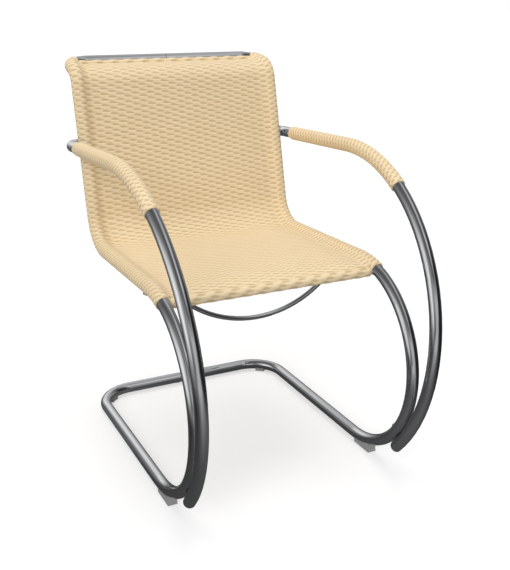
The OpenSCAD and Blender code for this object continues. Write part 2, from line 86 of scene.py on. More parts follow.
BOW_R = 0.005
BOW_END_RUN = 0.0164
BOW_END_R = 0.020
BOW_LINK = 0.002
SEAT_BOW_DEPTH = 0.0883
SEAT_BOW_AT = 0.0228
BACK_BOW_DEPTH = 0.070
BACK_BOW_AT = 0.150
TAB_T = 0.004
TAB_W = 0.016

# The weave: the pitch of its rows, the slant of a strand in its row, the heights of strands
# and stakes over the skin, and the counts of stakes over the face and round the tubes
ROW = 0.00618
SLANT = -0.4
SKIN_DROP = 0.0008
STRAND_WAVE = 0.0006
STRAND_CROWN = 0.0004
STAKE_WAVE = 0.0002
STAKE_CROWN = 0.0001
STAKE_HALF = 0.17
FACE_STAKES = 12.5
ROUND_STAKES = 5
SLEEVE_STAKES = 10
OVERLAP_STAKES = 0.3
OVERLAP_SINK = 0.0012
MAT_LIP = 0.0005
SIDE_DRAW = 4

# Winding of the edge rolls: strands round them, and stakes that a strand leans by
ROLL_START = 180
FRONT_STRANDS = 8
FRONT_LEAN = 1 / 2
TOP_STRANDS = 6
TOP_LEAN = 1 / 3

# Mesh lines within a row and within a stake's width, and their share on hidden inner walls
ROW_STEPS = (0, 0.17, 0.5, 0.83)
STAKE_STEPS = (0, 0.1, 0.22, 0.36, 0.5, 0.64, 0.78, 0.9)
INNER_STEP = 6
ROLL_INNER_STEP = 4
SAME_PLACE = 1e-6

# Mesh of the tubes
TUBE_SIDES = 40
BEND_STEP = 4
RIM_ROUND = 0.0005
SMOOTH_ANGLE = 20
TAB_ANGLES = (15, 35, 60, 90)
HALVES_MERGE = 0.0002


# Places and routes


def moved(x, y, z):
    return Matrix.Translation((x, y, z))


def turned(axis, angle):
    return Matrix.Rotation(radians(angle), 4, axis)


def polar(radius, angle):
    """A step in the side view, as (y, z)."""
    return np.array([radius * cos(radians(angle)), radius * sin(radians(angle))])


def at(point, angle):
    """A place in the side view, turned about the chair's width."""
    return moved(0, point[0], point[1]) @ turned("X", angle)


def at_bend(middle, radius, angle):
    """The start of a route that runs round a bend towards smaller angles."""
    return at(middle, angle - 270) @ moved(0, 0, -radius) @ turned("Z", 90) @ turned("Y", -90)


def bent(radius, angle):
    """The step that a bend makes, which turns from Z towards X."""
    return moved(radius, 0, 0) @ turned("Y", angle) @ moved(-radius, 0, 0)


class Route:
    """A bent centre line: legs are straight lengths, or bends as (radius, angle, roll)."""

    def __init__(self, start, legs):
        self.legs = []
        self.length = 0
        here = start
        for leg in legs:
            radius, angle, roll = leg if isinstance(leg, tuple) else (None, 0, 0)
            size = leg if radius is None else radius * radians(angle)
            self.legs.append((self.length, here @ turned("Z", roll), radius, roll))
            self.length += size
            if radius is None:
                here = here @ moved(0, 0, size)
            else:
                here = here @ turned("Z", roll) @ bent(radius, angle) @ turned("Z", -roll)

    def place(self, distance):
        """The frame of the route's cross-section at a distance along it."""
        for begin, start, radius, roll in reversed(self.legs):
            if distance >= begin or begin == 0:
                gone = distance - begin
                if radius is None:
                    return start @ moved(0, 0, gone)
                return start @ bent(radius, degrees(gone / radius)) @ turned("Z", -roll)

    def lay(self, distances, side, depth):
        """Points beside the route: side and depth are arrays of one row for each distance,
        measured along the cross-section's Y and X axes."""
        frames = np.array([self.place(d) for d in distances])
        centre, across, inwards = (frames[:, None, :3, column] for column in (3, 1, 0))
        return centre + side[..., None] * across + depth[..., None] * inwards


floor_z = FLOOR_GAP + TUBE_R
arc_c = np.array([-MID_Y, floor_z + FRONT_R])
seat_turn = 90 + SEAT_SLOPE - BACK_LEAN
bend_tangent = SEAT_BEND_R * sin(radians(seat_turn / 2)) / cos(radians(seat_turn / 2))
seat_angle = 90 - SEAT_SLOPE
back_angle = 90 - BACK_LEAN
tail_angle = back_angle - CURL_ANGLE
seat_start = arc_c + polar(FRONT_R, seat_angle)
corner = seat_start + polar(SEAT_RUN, -SEAT_SLOPE)
curl_start = corner + polar(BACK_RUN, back_angle)
curl_c = curl_start + polar(CURL_R, -BACK_LEAN)
curl_end = curl_c + polar(CURL_R, 90 + tail_angle)
top_corner = curl_end + polar(CURL_TAIL, tail_angle)
side_legs = [
    SEAT_RUN - bend_tangent,
    (SEAT_BEND_R, seat_turn, 180),
    BACK_RUN - bend_tangent,
    (CURL_R, CURL_ANGLE, 0),
    CURL_TAIL,
]

# The arms' own plane leans outwards from the place where they meet the front bends
contact = arc_c - polar(FRONT_R + TUBE_R + SADDLE_T / 2, CONTACT_ANGLE)
arm_c = arc_c + polar(ARM_R - FRONT_R - 2 * TUBE_R - SADDLE_T, CONTACT_ANGLE)
arm_top = arm_c + polar(ARM_R, 90 - ARM_SLOPE)
return_off = TUBE_R + WRAP_R + RETURN_GAP
arm_gap = return_off - (arm_top - corner) @ polar(1, -BACK_LEAN)
arm_reach = arm_gap / cos(radians(BACK_LEAN - ARM_SLOPE))
arm_run = arm_reach - return_off - ELBOW_SLACK
arm_back = arm_top + polar(arm_reach, -ARM_SLOPE)
arm_rise, arm_depth = arm_back[1] - contact[1], arm_back[0] - contact[0]
arm_aside = return_off - arm_depth * sin(radians(ARM_SPLAY))
arm_tilt = degrees(asin(arm_aside / (arm_rise * cos(radians(ARM_SPLAY)))))
in_arm = (
    moved(-SEAT_W / 2, contact[0], contact[1])
    @ turned("Z", ARM_SPLAY)
    @ turned("Y", -arm_tilt)
    @ moved(0, -contact[0], -contact[1])
)
elbow_r = return_off + ELBOW_SLACK
arm_top_angle = 90 - ARM_SLOPE
arm_start = 180 + CONTACT_ANGLE + degrees(ARM_FOOT / ARM_R)


# Materials


class Wire:
    """A shader value: an expression on wires adds its Math nodes."""

    def __init__(self, finish, socket):
        self.finish = finish
        self.socket = socket

    def __add__(self, other):
        return self.finish.maths("ADD", self, other)

    def __sub__(self, other):
        return self.finish.maths("SUBTRACT", self, other)

    def __rsub__(self, other):
        return self.finish.maths("SUBTRACT", other, self)

    def __mul__(self, other):
        return self.finish.maths("MULTIPLY", self, other)

    __radd__ = __add__
    __rmul__ = __mul__


class Finish:
    """The nodes of a material, or of the world, with one shader at their end."""

    def __init__(self, owner):
        owner.use_nodes = True
        self.owner = owner
        self.nodes = owner.node_tree.nodes
        self.links = owner.node_tree.links
        self.shader = self.nodes.get("Principled BSDF") or self.nodes["Background"]

    def node(self, kind, settings, *values, out=0, **named):
        """One node: its settings, the values or wires of its sockets, and the output read."""
        made = self.nodes.new("ShaderNode" + kind)
        for key, value in settings.items():
            setattr(made, key, value)
        for key, value in [*enumerate(values), *named.items()]:
            self.feed(made.inputs[key.replace("_", " ") if isinstance(key, str) else key], value)
        return Wire(self, made.outputs[out])

    def feed(self, socket, value):
        """Links a wire to a socket, or writes a plain value in it."""
        if isinstance(value, Wire):
            self.links.new(value.socket, socket)
        else:
            socket.default_value = value

    def set(self, **sockets):
        for key, value in sockets.items():
            self.feed(self.shader.inputs[key.replace("_", " ")], value)

    def maths(self, operation, *values):
        return self.node("Math", {"operation": operation}, *values)

    def mix(self, share, first, second):
        """A colour between two colours."""
        mixed = self.nodes.new("ShaderNodeMix")
        mixed.data_type = "RGBA"
        # The colour sockets of this node come after those for numbers and vectors
        for place, value in ((0, share), (6, first), (7, second)):
            self.feed(mixed.inputs[place], value)
        return Wire(self, mixed.outputs[2])

    def noise(self, vector, scale, detail):
        return self.node("TexNoise", {}, Vector=vector, Scale=scale, Detail=detail)

    def smooth(self, value, begin, end):
        """An eased step from 0 to 1 between two values."""
        return self.node("MapRange", {"interpolation_type": "SMOOTHSTEP"}, value, begin, end)


def material(name):
    return Finish(bpy.data.materials.new(name))


def colour(red, green, blue):
    """A screen colour of 0 to 255, as the shaders want it."""
    linear = [
        c / 12.92 if c <= 0.04045 else ((c + 0.055) / 1.055) ** 2.4
        for c in (red / 255, green / 255, blue / 255)
    ]
    return (*linear, 1)


# Shares of the noise in each finish
HAZE_ROUGHNESS = 0.05
GRAIN_ROUGHNESS = 0.12
CLOUD_SHARE = 0.6
CLOUD_TONE = 0.8
TONE_SHARE = 0.6
PATCH_SHARE = 0.3
FIBRE_SHARE = 0.2

# The dark lenses of the weave, painted shade in its dips: their height in a row, their taper,
# the ends of their soft rim, and their strength in the colour and the roughness
LENS_AT = 0.3
LENS_TAPER = 1.1
LENS_RIM = (0.05, 0.8)
LENS_SHADE_SHARE = 0.56
LENS_ROUGHNESS = 0.2


def metal_finish(name, light, dark, roughness):
    """Polished metal with faint polishing marks."""
    metal = material(name)
    place = metal.node("TexCoord", {}, out="Object")
    haze = metal.noise(place, scale=18, detail=3)
    marks = metal.noise(place, scale=900, detail=1)
    metal.set(
        Base_Color=metal.mix(haze, dark, light),
        Metallic=1,
        Roughness=roughness + haze * HAZE_ROUGHNESS,
        Normal=metal.node("Bump", {}, Strength=0.015, Distance=0.0002, Height=marks),
    )
    return metal.owner


def cane_finish(name, light, dark, warm, roughness):
    """Woven cane with painted shade in its dips: the UV map counts stakes across and rows along."""
    cane = material(name)
    stake = cane.node("SeparateXYZ", {}, cane.node("UVMap", {"uv_map": "UVMap"}))
    row = Wire(cane, stake.socket.node.outputs["Y"])
    number = cane.maths("FLOOR", row)
    climb = row - number
    place = stake + number + (climb - 0.5) * SLANT
    wave = cane.maths("COSINE", place * pi)
    # Painted shade: dark lenses lie low in each row, where the strand dips behind a stake into
    # shadow
    aside = cane.maths("ABSOLUTE", climb - LENS_AT)
    painted_shade = cane.smooth(0.5 - wave * 0.5 - aside * LENS_TAPER, *LENS_RIM)
    # Each strand has its own tone, and long fibres run along it
    strand = cane.node("CombineXYZ", {}, stake * 0.23, number * 7.3, 0.0)
    tone = cane.noise(strand, scale=1, detail=1)
    fibre_place = cane.node("CombineXYZ", {}, stake * 3, row * 26, 0.0)
    fibre = cane.noise(fibre_place, scale=1, detail=2)
    patch = cane.noise(cane.node("TexCoord", {}, out="Object"), scale=9, detail=2)
    body = cane.mix(tone * TONE_SHARE + patch * PATCH_SHARE, light, warm)
    body = cane.mix(fibre * FIBRE_SHARE, body, dark)
    # The painted shade of the dips darkens the base colour towards the dark colour
    cane.set(
        Base_Color=cane.mix(painted_shade * LENS_SHADE_SHARE, body, dark),
        Roughness=roughness + painted_shade * LENS_ROUGHNESS,
        Normal=cane.node("Bump", {}, Strength=0.25, Distance=0.0004, Height=fibre),
    )
    cane.shader.inputs["Specular IOR Level"].default_value = 0.25
    return cane.owner


def plastic_finish(name, base, roughness):
    """Moulded plastic with a fine grain."""
    plastic = material(name)
    place = plastic.node("TexCoord", {}, out="Object")
    grain = plastic.noise(place, scale=700, detail=2)
    cloud = plastic.noise(place, scale=30, detail=2)
    darker = (*(c * CLOUD_TONE for c in base[:3]), 1)
    plastic.set(
        Base_Color=plastic.mix(cloud * CLOUD_SHARE, base, darker),
        Roughness=roughness + grain * GRAIN_ROUGHNESS,
        Normal=plastic.node("Bump", {}, Strength=0.08, Distance=0.0003, Height=grain),
    )
    return plastic.owner


chrome = metal_finish(
    "chrome", light=colour(243, 244, 246), dark=colour(230, 232, 235), roughness=0.03
)
steel = metal_finish(
    "zinc_steel", light=colour(205, 206, 208), dark=colour(184, 186, 190), roughness=0.22
)
# The cane's dark colour is painted shade in the weave's dips, and also the tone of its fibres
cane = cane_finish(
    "woven_cane",
    light=colour(251, 231, 196),
    dark=colour(182, 154, 103),
    warm=colour(241, 216, 174),
    roughness=0.55,
)
glide_grey = plastic_finish("glide_plastic", colour(168, 168, 168), roughness=0.4)
plug_grey = plastic_finish("plug_plastic", colour(78, 78, 79), roughness=0.35)
rubber = plastic_finish("washer_rubber", colour(40, 40, 40), roughness=0.6)


# Woven and wound pieces


def crown(share):
    """A round back: 1 in the middle, where share is 0, and 0 from 1 on."""
    return np.sqrt(np.clip(1 - share**2, 0, None))


def weave_height(stake, row):
    """Height of the weave over its skin: each row goes over every second stake, and the
    stakes show a little between."""
    number = np.floor(row + SAME_PLACE)
    climb = row - number
    wave = np.cos(pi * (stake + number + SLANT * (climb - 0.5)))
    strand = STRAND_WAVE * wave + STRAND_CROWN * crown(2 * climb - 1)
    nearest = np.round(stake)
    over = -np.cos(pi * nearest) * np.sin(pi * row)
    ridge = crown((stake - nearest) / STAKE_HALF)
    rod = np.where(ridge > 0, STAKE_WAVE * over + STAKE_CROWN * ridge, -1)
    return np.maximum(strand, rod) - SKIN_DROP


def deselect():
    for thing in list(bpy.context.selected_objects):
        thing.select_set(False)


def grid(name, points):
    """A grid whose points lie where they are given."""
    deep, wide = points.shape[:2]
    deselect()
    bpy.ops.mesh.primitive_grid_add(x_subdivisions=wide - 1, y_subdivisions=deep - 1, size=1)
    piece = bpy.context.object
    piece.name = piece.data.name = name
    piece.data.vertices.foreach_set("co", points.reshape(-1).astype(np.float32))
    return piece


def cane_sheet(name, points, stakes, rows, node):
    """A sheet of cane in place of a CAD node; its UV map counts stakes and rows."""
    piece = grid(name, points)
    mesh = piece.data
    corner_of = np.empty(len(mesh.loops), np.int32)
    mesh.loops.foreach_get("vertex_index", corner_of)
    spread = np.stack(np.broadcast_arrays(stakes, rows), -1).reshape(-1, 2)
    mesh.uv_layers[0].name = "UVMap"
    mesh.uv_layers[0].data.foreach_set("uv", spread[corner_of].reshape(-1).astype(np.float32))
    bpy.ops.object.mode_set(mode="EDIT")
    bpy.ops.mesh.select_all(action="SELECT")
    bpy.ops.mesh.remove_doubles(threshold=SAME_PLACE)
    bpy.ops.mesh.normals_make_consistent(inside=False)
    bpy.ops.object.mode_set(mode="OBJECT")
    bpy.ops.object.shade_smooth()
    # The metal mirrors the studio and not the cane
    piece.visible_glossy = False
    settle(piece, cane, node)


def settle(piece, finish, node):
    """Gives a piece its finish and the CAD node that it stands for."""
    piece.data.materials.append(finish)
    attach(piece, "root")
    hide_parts(node)


def mirrored(points):
    return points * np.array([-1, 1, 1])


def mesh_lines(first, last, steps):
    """Counts of the mesh lines from one row, or stake, to another."""
    inner = (np.arange(first, last)[:, None] + steps).reshape(-1)
    return np.append(inner, last)


hollow_r = (WRAP_R * cos(radians(LEAVE_ANGLE)) - WEAVE_T / 2) / (1 - cos(radians(LEAVE_ANGLE)))
hollow_reach = (WRAP_R + hollow_r) * sin(radians(LEAVE_ANGLE))
flat_half = SEAT_W / 2 - hollow_reach
hollow_length = hollow_r * radians(LEAVE_ANGLE)
face_half = flat_half + hollow_length
cell = face_half / FACE_STAKES


def face_line(stakes):
    """The weave's face from side to side: width, rise and the direction of its normal."""
    reach = np.abs(stakes) * cell
    turn = np.clip((reach - flat_half) / hollow_r, 0, radians(LEAVE_ANGLE))
    past = np.clip(reach - face_half, 0, None) / WRAP_R
    over = turn - past
    width = np.minimum(reach, flat_half) + hollow_r * np.sin(turn)
    rise = WEAVE_T / 2 + hollow_r * (1 - np.cos(turn))
    start = radians(90 + LEAVE_ANGLE)
    round_width = SEAT_W / 2 + WRAP_R * np.cos(start - past)
    round_rise = WRAP_R * np.sin(start - past)
    width = np.where(past > 0, round_width, width)
    rise = np.where(past > 0, round_rise, rise)
    return np.sign(stakes) * width, rise, -np.sign(stakes) * np.sin(over), np.cos(over), past


lip_back = sqrt((FRONT_ROLL_R + CLEARANCE) ** 2 - (FRONT_ROLL_R - MAT_LIP) ** 2)
mat_start = FRONT_ROD_ANGLE - degrees(lip_back / FRONT_R)
front_leg = (FRONT_R, mat_start - seat_angle, 0)
top_rod_rise = TOP_CORNER_R - TOP_ROD_GAP
top_strip = top_rod_rise - TOP_ROLL_R - CLEARANCE
mat_route = Route(at_bend(arc_c, FRONT_R, mat_start), [front_leg, *side_legs, top_strip])
weave_rows = round(mat_route.length / ROW)
row_pitch = mat_route.length / weave_rows
face_corner_r = TOP_CORNER_R - WRAP_R * cos(radians(LEAVE_ANGLE))


def woven_panel(name, first, last):
    """A closed panel of the weave between two grooves: its front, its back, and a hidden
    strip along each side, inside the wound tubes."""
    rows = mesh_lines(first, last, ROW_STEPS)
    edge = FACE_STAKES + OVERLAP_STAKES
    face = mesh_lines(-FACE_STAKES, FACE_STAKES, STAKE_STEPS)
    stakes = np.concatenate([[-edge], face, [edge]])
    width, rise, lean, stand, past = face_line(stakes)
    # Between the top corners, the sides of the weave follow the tubes inwards
    strip = np.clip(rows * row_pitch - mat_route.length + top_strip, 0, None)[:, None]
    inwards = face_corner_r - np.sqrt(face_corner_r**2 - strip**2)
    pull = np.clip(np.abs(width) / flat_half, 0, 1) ** SIDE_DRAW
    width = width - np.sign(width) * inwards * pull
    sink = OVERLAP_SINK * (past > 0)
    front = weave_height(stakes[None], rows[:, None]) - sink
    back = weave_height(stakes[None] + 1, rows[:, None]) - sink
    front_side = width + lean * front
    front_depth = -(rise + stand * front)
    back_side = (width + lean * back)[:, ::-1]
    back_depth = (rise + stand * back)[:, ::-1]
    side = np.concatenate([front_side, back_side, front_side[:, :1]], 1)
    depth = np.concatenate([front_depth, back_depth, front_depth[:, :1]], 1)
    counts = np.concatenate([stakes, stakes[::-1] + 1, stakes[:1]])
    points = mat_route.lay(rows * row_pitch, side, depth)
    cane_sheet(name, points, counts[None], rows[:, None], "cane_mat")
    close_ends()


def close_ends():
    """Fills the open rims of the active piece with faces."""
    bpy.ops.object.mode_set(mode="EDIT")
    bpy.ops.mesh.select_all(action="SELECT")
    bpy.ops.mesh.region_to_loop()
    bpy.ops.mesh.edge_face_add()
    bpy.ops.mesh.select_all(action="SELECT")
    bpy.ops.mesh.quads_convert_to_tris()
    bpy.ops.mesh.normals_make_consistent(inside=False)
    bpy.ops.object.mode_set(mode="OBJECT")


bend_row = round((front_leg[0] * radians(front_leg[1]) + side_legs[0]) / row_pitch)
back_row = bend_row + round(SEAT_BEND_R * radians(seat_turn) / row_pitch)
woven_panel("seat_weave", 0, bend_row)
woven_panel("corner_weave", bend_row, back_row)
woven_panel("back_weave", back_row, weave_rows)


def wound_tube(name, route, rows, angles, stakes, node, mirror, lead=0):
    """Cane wound on a tube: outer rows with their relief, and a plain inner wall. The route
    starts at the lead before row 0."""
    turn = np.radians(angles)[None]
    height = WRAP_R + weave_height(stakes[None], rows[:, None])
    few = rows[::INNER_STEP]
    inner = np.full((len(few) + 2, len(angles)), TUBE_R + CLEARANCE / 2)
    back_rows = np.concatenate([[rows[-1]], few[::-1], [rows[0]]])
    radius = np.concatenate([height, inner, height[:1]])
    lines = np.concatenate([rows, back_rows, rows[:1]])
    side = radius * np.cos(turn)
    depth = radius * -np.sin(turn)
    points = route.lay(lines * row_pitch + lead, side, depth)
    if mirror:
        points = mirrored(points)
    cane_sheet(name, points, stakes[None], lines[:, None], node)


def side_angles():
    """Angles round a side tube from the front junction over the outer side to the back one,
    and on over the hidden inner side, with the stakes counted on from the weave's edge."""
    shown = mesh_lines(0, ROUND_STAKES, STAKE_STEPS)
    hidden = np.array([0.25, 0.5, 0.75, 1])
    start = 90 + LEAVE_ANGLE
    angles = np.concatenate(
        [start - shown / ROUND_STAKES * 2 * start, -start - hidden * (360 - 2 * start)]
    )
    return angles, FACE_STAKES + np.concatenate([shown, ROUND_STAKES + hidden])


wrap_lead = FRONT_R * radians(WRAP_START - mat_start)
wrap_legs = [
    (FRONT_R, WRAP_START - seat_angle, 0),
    *side_legs,
    (TOP_CORNER_R, WRAP_STOP, -90),
]
left_route = Route(moved(-SEAT_W / 2, 0, 0) @ at_bend(arc_c, FRONT_R, WRAP_START), wrap_legs)
first_row = -round(wrap_lead / row_pitch)
last_row = round((left_route.length - wrap_lead) / row_pitch)
side_turns, side_stakes = side_angles()
for side_name in ("left", "right"):
    wound_tube(
        "side_wrap_" + side_name,
        left_route,
        mesh_lines(first_row, last_row, ROW_STEPS),
        side_turns,
        side_stakes,
        "cane_wrap_" + side_name,
        side_name == "right",
        wrap_lead,
    )

sleeve_route = Route(
    in_arm @ at_bend(arm_c, ARM_R, SLEEVE_START),
    [(ARM_R, SLEEVE_START - (90 - ARM_SLOPE), 0), arm_run - SLEEVE_STOP],
)
sleeve_stakes = mesh_lines(0, SLEEVE_STAKES, STAKE_STEPS)
for side_name in ("left", "right"):
    wound_tube(
        "arm_sleeve_" + side_name,
        sleeve_route,
        mesh_lines(0, round(sleeve_route.length / row_pitch), ROW_STEPS),
        -sleeve_stakes / SLEEVE_STAKES * 360,
        sleeve_stakes,
        "arm_wrap_" + side_name,
        side_name == "right",
    )


def edge_roll(name, node, middle, rod_r, outer_r, strands, lean, ends):
    """Cane wound on an edge rod in slanting strands. ends gives the half length of the roll
    along a line at an angle and radius."""
    rows = mesh_lines(0, strands, ROW_STEPS)
    angles = ROLL_START - rows / strands * 360
    count = ceil(ends(ROLL_START, outer_r) / cell)
    share = mesh_lines(-count, count, STAKE_STEPS) / count

    def wall(radius_at):
        reach = np.array([ends(angle, outer_r) for angle in angles])
        across = share[:, None] * reach[None]
        stakes = across / cell + lean * rows[None]
        radius = radius_at(stakes)
        side = radius * np.cos(np.radians(angles))[None] + middle[0]
        up = radius * np.sin(np.radians(angles))[None] + middle[1]
        return np.stack([across, side, up], -1), stakes

    outside, stakes = wall(lambda count: outer_r + weave_height(count, rows[None]))
    inside, plain = wall(lambda count: np.full_like(count, rod_r + CLEARANCE / 2))
    back = slice(None, None, -ROLL_INNER_STEP)
    points = np.concatenate([outside, inside[back], inside[:1], outside[:1]])
    counts = np.concatenate([stakes, plain[back], plain[:1], stakes[:1]])
    cane_sheet(name, points, counts, np.broadcast_to(rows[None], counts.shape), node)


front_drop = FRONT_ROLL_R - WEAVE_T / 2
front_rod = arc_c + polar(FRONT_R - front_drop, FRONT_ROD_ANGLE)
front_reach = SEAT_W / 2 - sqrt(WRAP_R**2 - front_drop**2)


def front_end(angle, radius):
    """Half length of the front roll, which butts against the cane on the side tubes."""
    aside = np.linalg.norm(front_rod + polar(radius, angle) - arc_c) - FRONT_R
    if abs(aside) >= WRAP_R:
        return front_reach
    return min(front_reach, SEAT_W / 2 - sqrt(WRAP_R**2 - aside**2))


top_rod = top_corner + polar(top_rod_rise, tail_angle)
top_bend_at = SEAT_W / 2 - TOP_CORNER_R


def top_end(angle, radius):
    """Half length of the top roll, which butts against the top corners."""
    rise = top_rod_rise + radius * cos(radians(angle - tail_angle))
    off = radius * sin(radians(angle - tail_angle))
    for room in (WRAP_R, TUBE_R + CLEARANCE):
        inner = TOP_CORNER_R - sqrt(room**2 - off**2)
        reach = sqrt(max(inner**2 - rise**2, 0))
        if degrees(atan2(rise, reach)) < WRAP_STOP:
            break
    return top_bend_at + reach


edge_roll(
    "front_roll",
    "cane_front_roll",
    front_rod,
    FRONT_ROD_R,
    FRONT_ROLL_R,
    FRONT_STRANDS,
    FRONT_LEAN,
    front_end,
)
edge_roll(
    "top_roll",
    "cane_top_roll",
    top_rod,
    TOP_ROD_R,
    TOP_ROLL_R,
    TOP_STRANDS,
    TOP_LEAN,
    top_end,
)


# Tubes and bows


def ring(name, radius):
    """A ring in edit mode, which is pushed and spun into a tube."""
    deselect()
    bpy.ops.mesh.primitive_circle_add(vertices=TUBE_SIDES, radius=radius)
    piece = bpy.context.object
    piece.name = piece.data.name = name
    bpy.ops.object.mode_set(mode="EDIT")
    bpy.ops.mesh.select_all(action="SELECT")
    return piece


def push(here, leg):
    """Pushes the ring along one leg and gives the place where it arrives."""
    if isinstance(leg, tuple):
        radius, angle, roll = leg
        facing = here @ turned("Z", roll)
        bpy.ops.mesh.spin(
            steps=ceil(angle / BEND_STEP),
            angle=-radians(angle),
            center=facing @ Vector((radius, 0, 0)),
            axis=facing.to_3x3() @ Vector((0, 1, 0)),
        )
        return facing @ bent(radius, angle) @ turned("Z", -roll)
    step = here.to_3x3() @ Vector((0, 0, leg))
    bpy.ops.mesh.extrude_region_move(TRANSFORM_OT_translate={"value": step})
    return here @ moved(0, 0, leg)


def round_ends():
    """Closes the open ends and rounds their rims."""
    bpy.ops.mesh.select_all(action="SELECT")
    bpy.ops.mesh.region_to_loop()
    bpy.ops.mesh.edge_face_add()
    bpy.ops.mesh.bevel(offset=RIM_ROUND, segments=2, affect="EDGES")


def finish_metal(piece, start, mirror, node):
    piece.data.transform(start)
    if mirror:
        piece.data.transform(Matrix.Diagonal((-1, 1, 1, 1)))
    bpy.ops.object.mode_set(mode="EDIT")
    bpy.ops.mesh.select_all(action="SELECT")
    bpy.ops.mesh.normals_make_consistent(inside=False)
    bpy.ops.object.mode_set(mode="OBJECT")
    bpy.ops.object.shade_smooth_by_angle(angle=radians(SMOOTH_ANGLE))
    settle(piece, chrome, node)


def bent_tube(name, start, legs, node, mirror):
    piece = ring(name, TUBE_R)
    here = Matrix()
    for leg in legs:
        here = push(here, leg)
    round_ends()
    bpy.ops.object.mode_set(mode="OBJECT")
    finish_metal(piece, start, mirror, node)


frame_start = moved(-JOINT_GAP / 2, FLOOR_RUN - MID_Y, floor_z) @ turned("Y", -90)
frame_legs = [
    SEAT_W / 2 - REAR_CORNER_R - JOINT_GAP / 2,
    (REAR_CORNER_R, 90, -90),
    FLOOR_RUN - REAR_CORNER_R,
    (FRONT_R, 180 + SEAT_SLOPE, 0),
    *side_legs,
    (TOP_CORNER_R, 90, -90),
    SEAT_W / 2 - TOP_CORNER_R - JOINT_GAP / 2,
]
arm_place = in_arm @ at_bend(arm_c, ARM_R, arm_start)
arm_legs = [(ARM_R, arm_start - arm_top_angle, 0), arm_run, (elbow_r, 90, -90), ARM_END]
for side_name in ("left", "right"):
    mirror = side_name == "right"
    bent_tube("tube_frame_" + side_name, frame_start, frame_legs, "frame_" + side_name, mirror)
    bent_tube("tube_arm_" + side_name, arm_place, arm_legs, "arm_" + side_name, mirror)


def bow(name, node, place, depth):
    """A rod with flattened ends under the screws, bent down in the middle: one half is
    modelled and mirrored."""
    tab_length = 2 * WRAP_R - TAB_W / 2
    rod_half = SEAT_W / 2 - tab_length
    half_bend = degrees(atan(depth / (rod_half - BOW_END_RUN + BOW_LINK)))
    slant, level = sin(radians(half_bend)), cos(radians(half_bend))
    bend_sum = (depth / slant / 2 - BOW_LINK * level) / slant
    piece = ring(name, BOW_R)
    # The tab is round at its tip, as wide as a circle there, and swells to the rod
    tip = TAB_W / 2
    stations = [
        (tip - tip * cos(radians(angle)), tip * sin(radians(angle)), TAB_T / 2)
        for angle in TAB_ANGLES
    ]
    stations += [(tip + tab_length - 2 * BOW_R, tip, TAB_T / 2), (tip + tab_length, BOW_R, BOW_R)]
    here = moved(0, 0, stations[0][0])
    bpy.ops.transform.translate(value=here.to_translation())
    wide, thick = BOW_R, BOW_R
    for number, (distance, half_width, half_thick) in enumerate(stations):
        if number:
            here = push(here, distance - stations[number - 1][0])
        bpy.ops.transform.resize(
            value=(half_thick / thick, half_width / wide, 1),
            center_override=here.to_translation(),
        )
        wide, thick = half_width, half_thick
    for leg in (
        BOW_END_RUN,
        (BOW_END_R, 2 * half_bend, 0),
        BOW_LINK,
        (bend_sum - BOW_END_R, 2 * half_bend, 180),
    ):
        here = push(here, leg)
    bpy.ops.object.mode_set(mode="OBJECT")
    tab_z = -(WRAP_R + CLEARANCE + TAB_T / 2)
    piece.data.transform(place @ moved(-SEAT_W / 2 - tip, 0, tab_z) @ turned("Y", 90))
    both = piece.modifiers.new("both_halves", "MIRROR")
    both.merge_threshold = HALVES_MERGE
    bpy.ops.object.modifier_apply(modifier=both.name)
    bpy.ops.object.mode_set(mode="EDIT")
    round_ends()
    bpy.ops.object.mode_set(mode="OBJECT")
    finish_metal(piece, Matrix(), False, node)


bow(
    "rod_seat_bow",
    "seat_bow",
    at(seat_start + polar(SEAT_BOW_AT, -SEAT_SLOPE), -SEAT_SLOPE),
    SEAT_BOW_DEPTH,
)
bow(
    "rod_back_bow",
    "back_bow",
    at(corner + polar(BACK_BOW_AT, back_angle), back_angle),
    BACK_BOW_DEPTH,
)


# CAD pieces that stay

finishes = {
    "front_edge_rod": chrome,
    "top_edge_rod": chrome,
    "arm_lower_plugs": plug_grey,
    "arm_upper_plugs": plug_grey,
    "arm_lower_washers": rubber,
}
for name in (
    "top_joint_sleeve",
    "rear_joint_sleeve",
    "joint_screws",
    "seat_bow_screws",
    "back_bow_screws",
    "arm_lower_screws",
    "arm_upper_screws",
    "rivet_nuts",
):
    finishes[name] = steel
for place in ("front_left", "front_right", "rear_left", "rear_right"):
    finishes["glide_" + place] = glide_grey
for name, finish in finishes.items():
    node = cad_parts[name]
    node.data.materials.clear()
    node.data.materials.append(finish)


# Stage

# The camera, as worked out from the photograph's own lines
TARGET = Vector((0.1220, 0.05888, 0.32678))
AZIMUTH, ELEVATION, ROLL = -27.1705, 18.9622, 0.4457
DISTANCE, FOCAL_PX = 1.98574, 861.05
PHOTO = (510, 570)
CENTRE_PX = (272.31, 284.27)
SENSOR_MM = 36

back_off = Vector(
    (
        sin(radians(AZIMUTH)) * cos(radians(ELEVATION)),
        -cos(radians(AZIMUTH)) * cos(radians(ELEVATION)),
        sin(radians(ELEVATION)),
    )
)
bpy.ops.object.camera_add(location=TARGET + back_off * DISTANCE)
camera = bpy.context.object
upright = back_off.to_track_quat("Z", "Y").to_matrix()
camera.rotation_euler = (upright @ Matrix.Rotation(radians(ROLL), 3, "Z")).to_euler()
camera.data.sensor_width = SENSOR_MM
camera.data.lens = FOCAL_PX * SENSOR_MM / max(PHOTO)
camera.data.shift_x = (PHOTO[0] / 2 - CENTRE_PX[0]) / max(PHOTO)
camera.data.shift_y = (CENTRE_PX[1] - PHOTO[1] / 2) / max(PHOTO)
bpy.context.scene.camera = camera

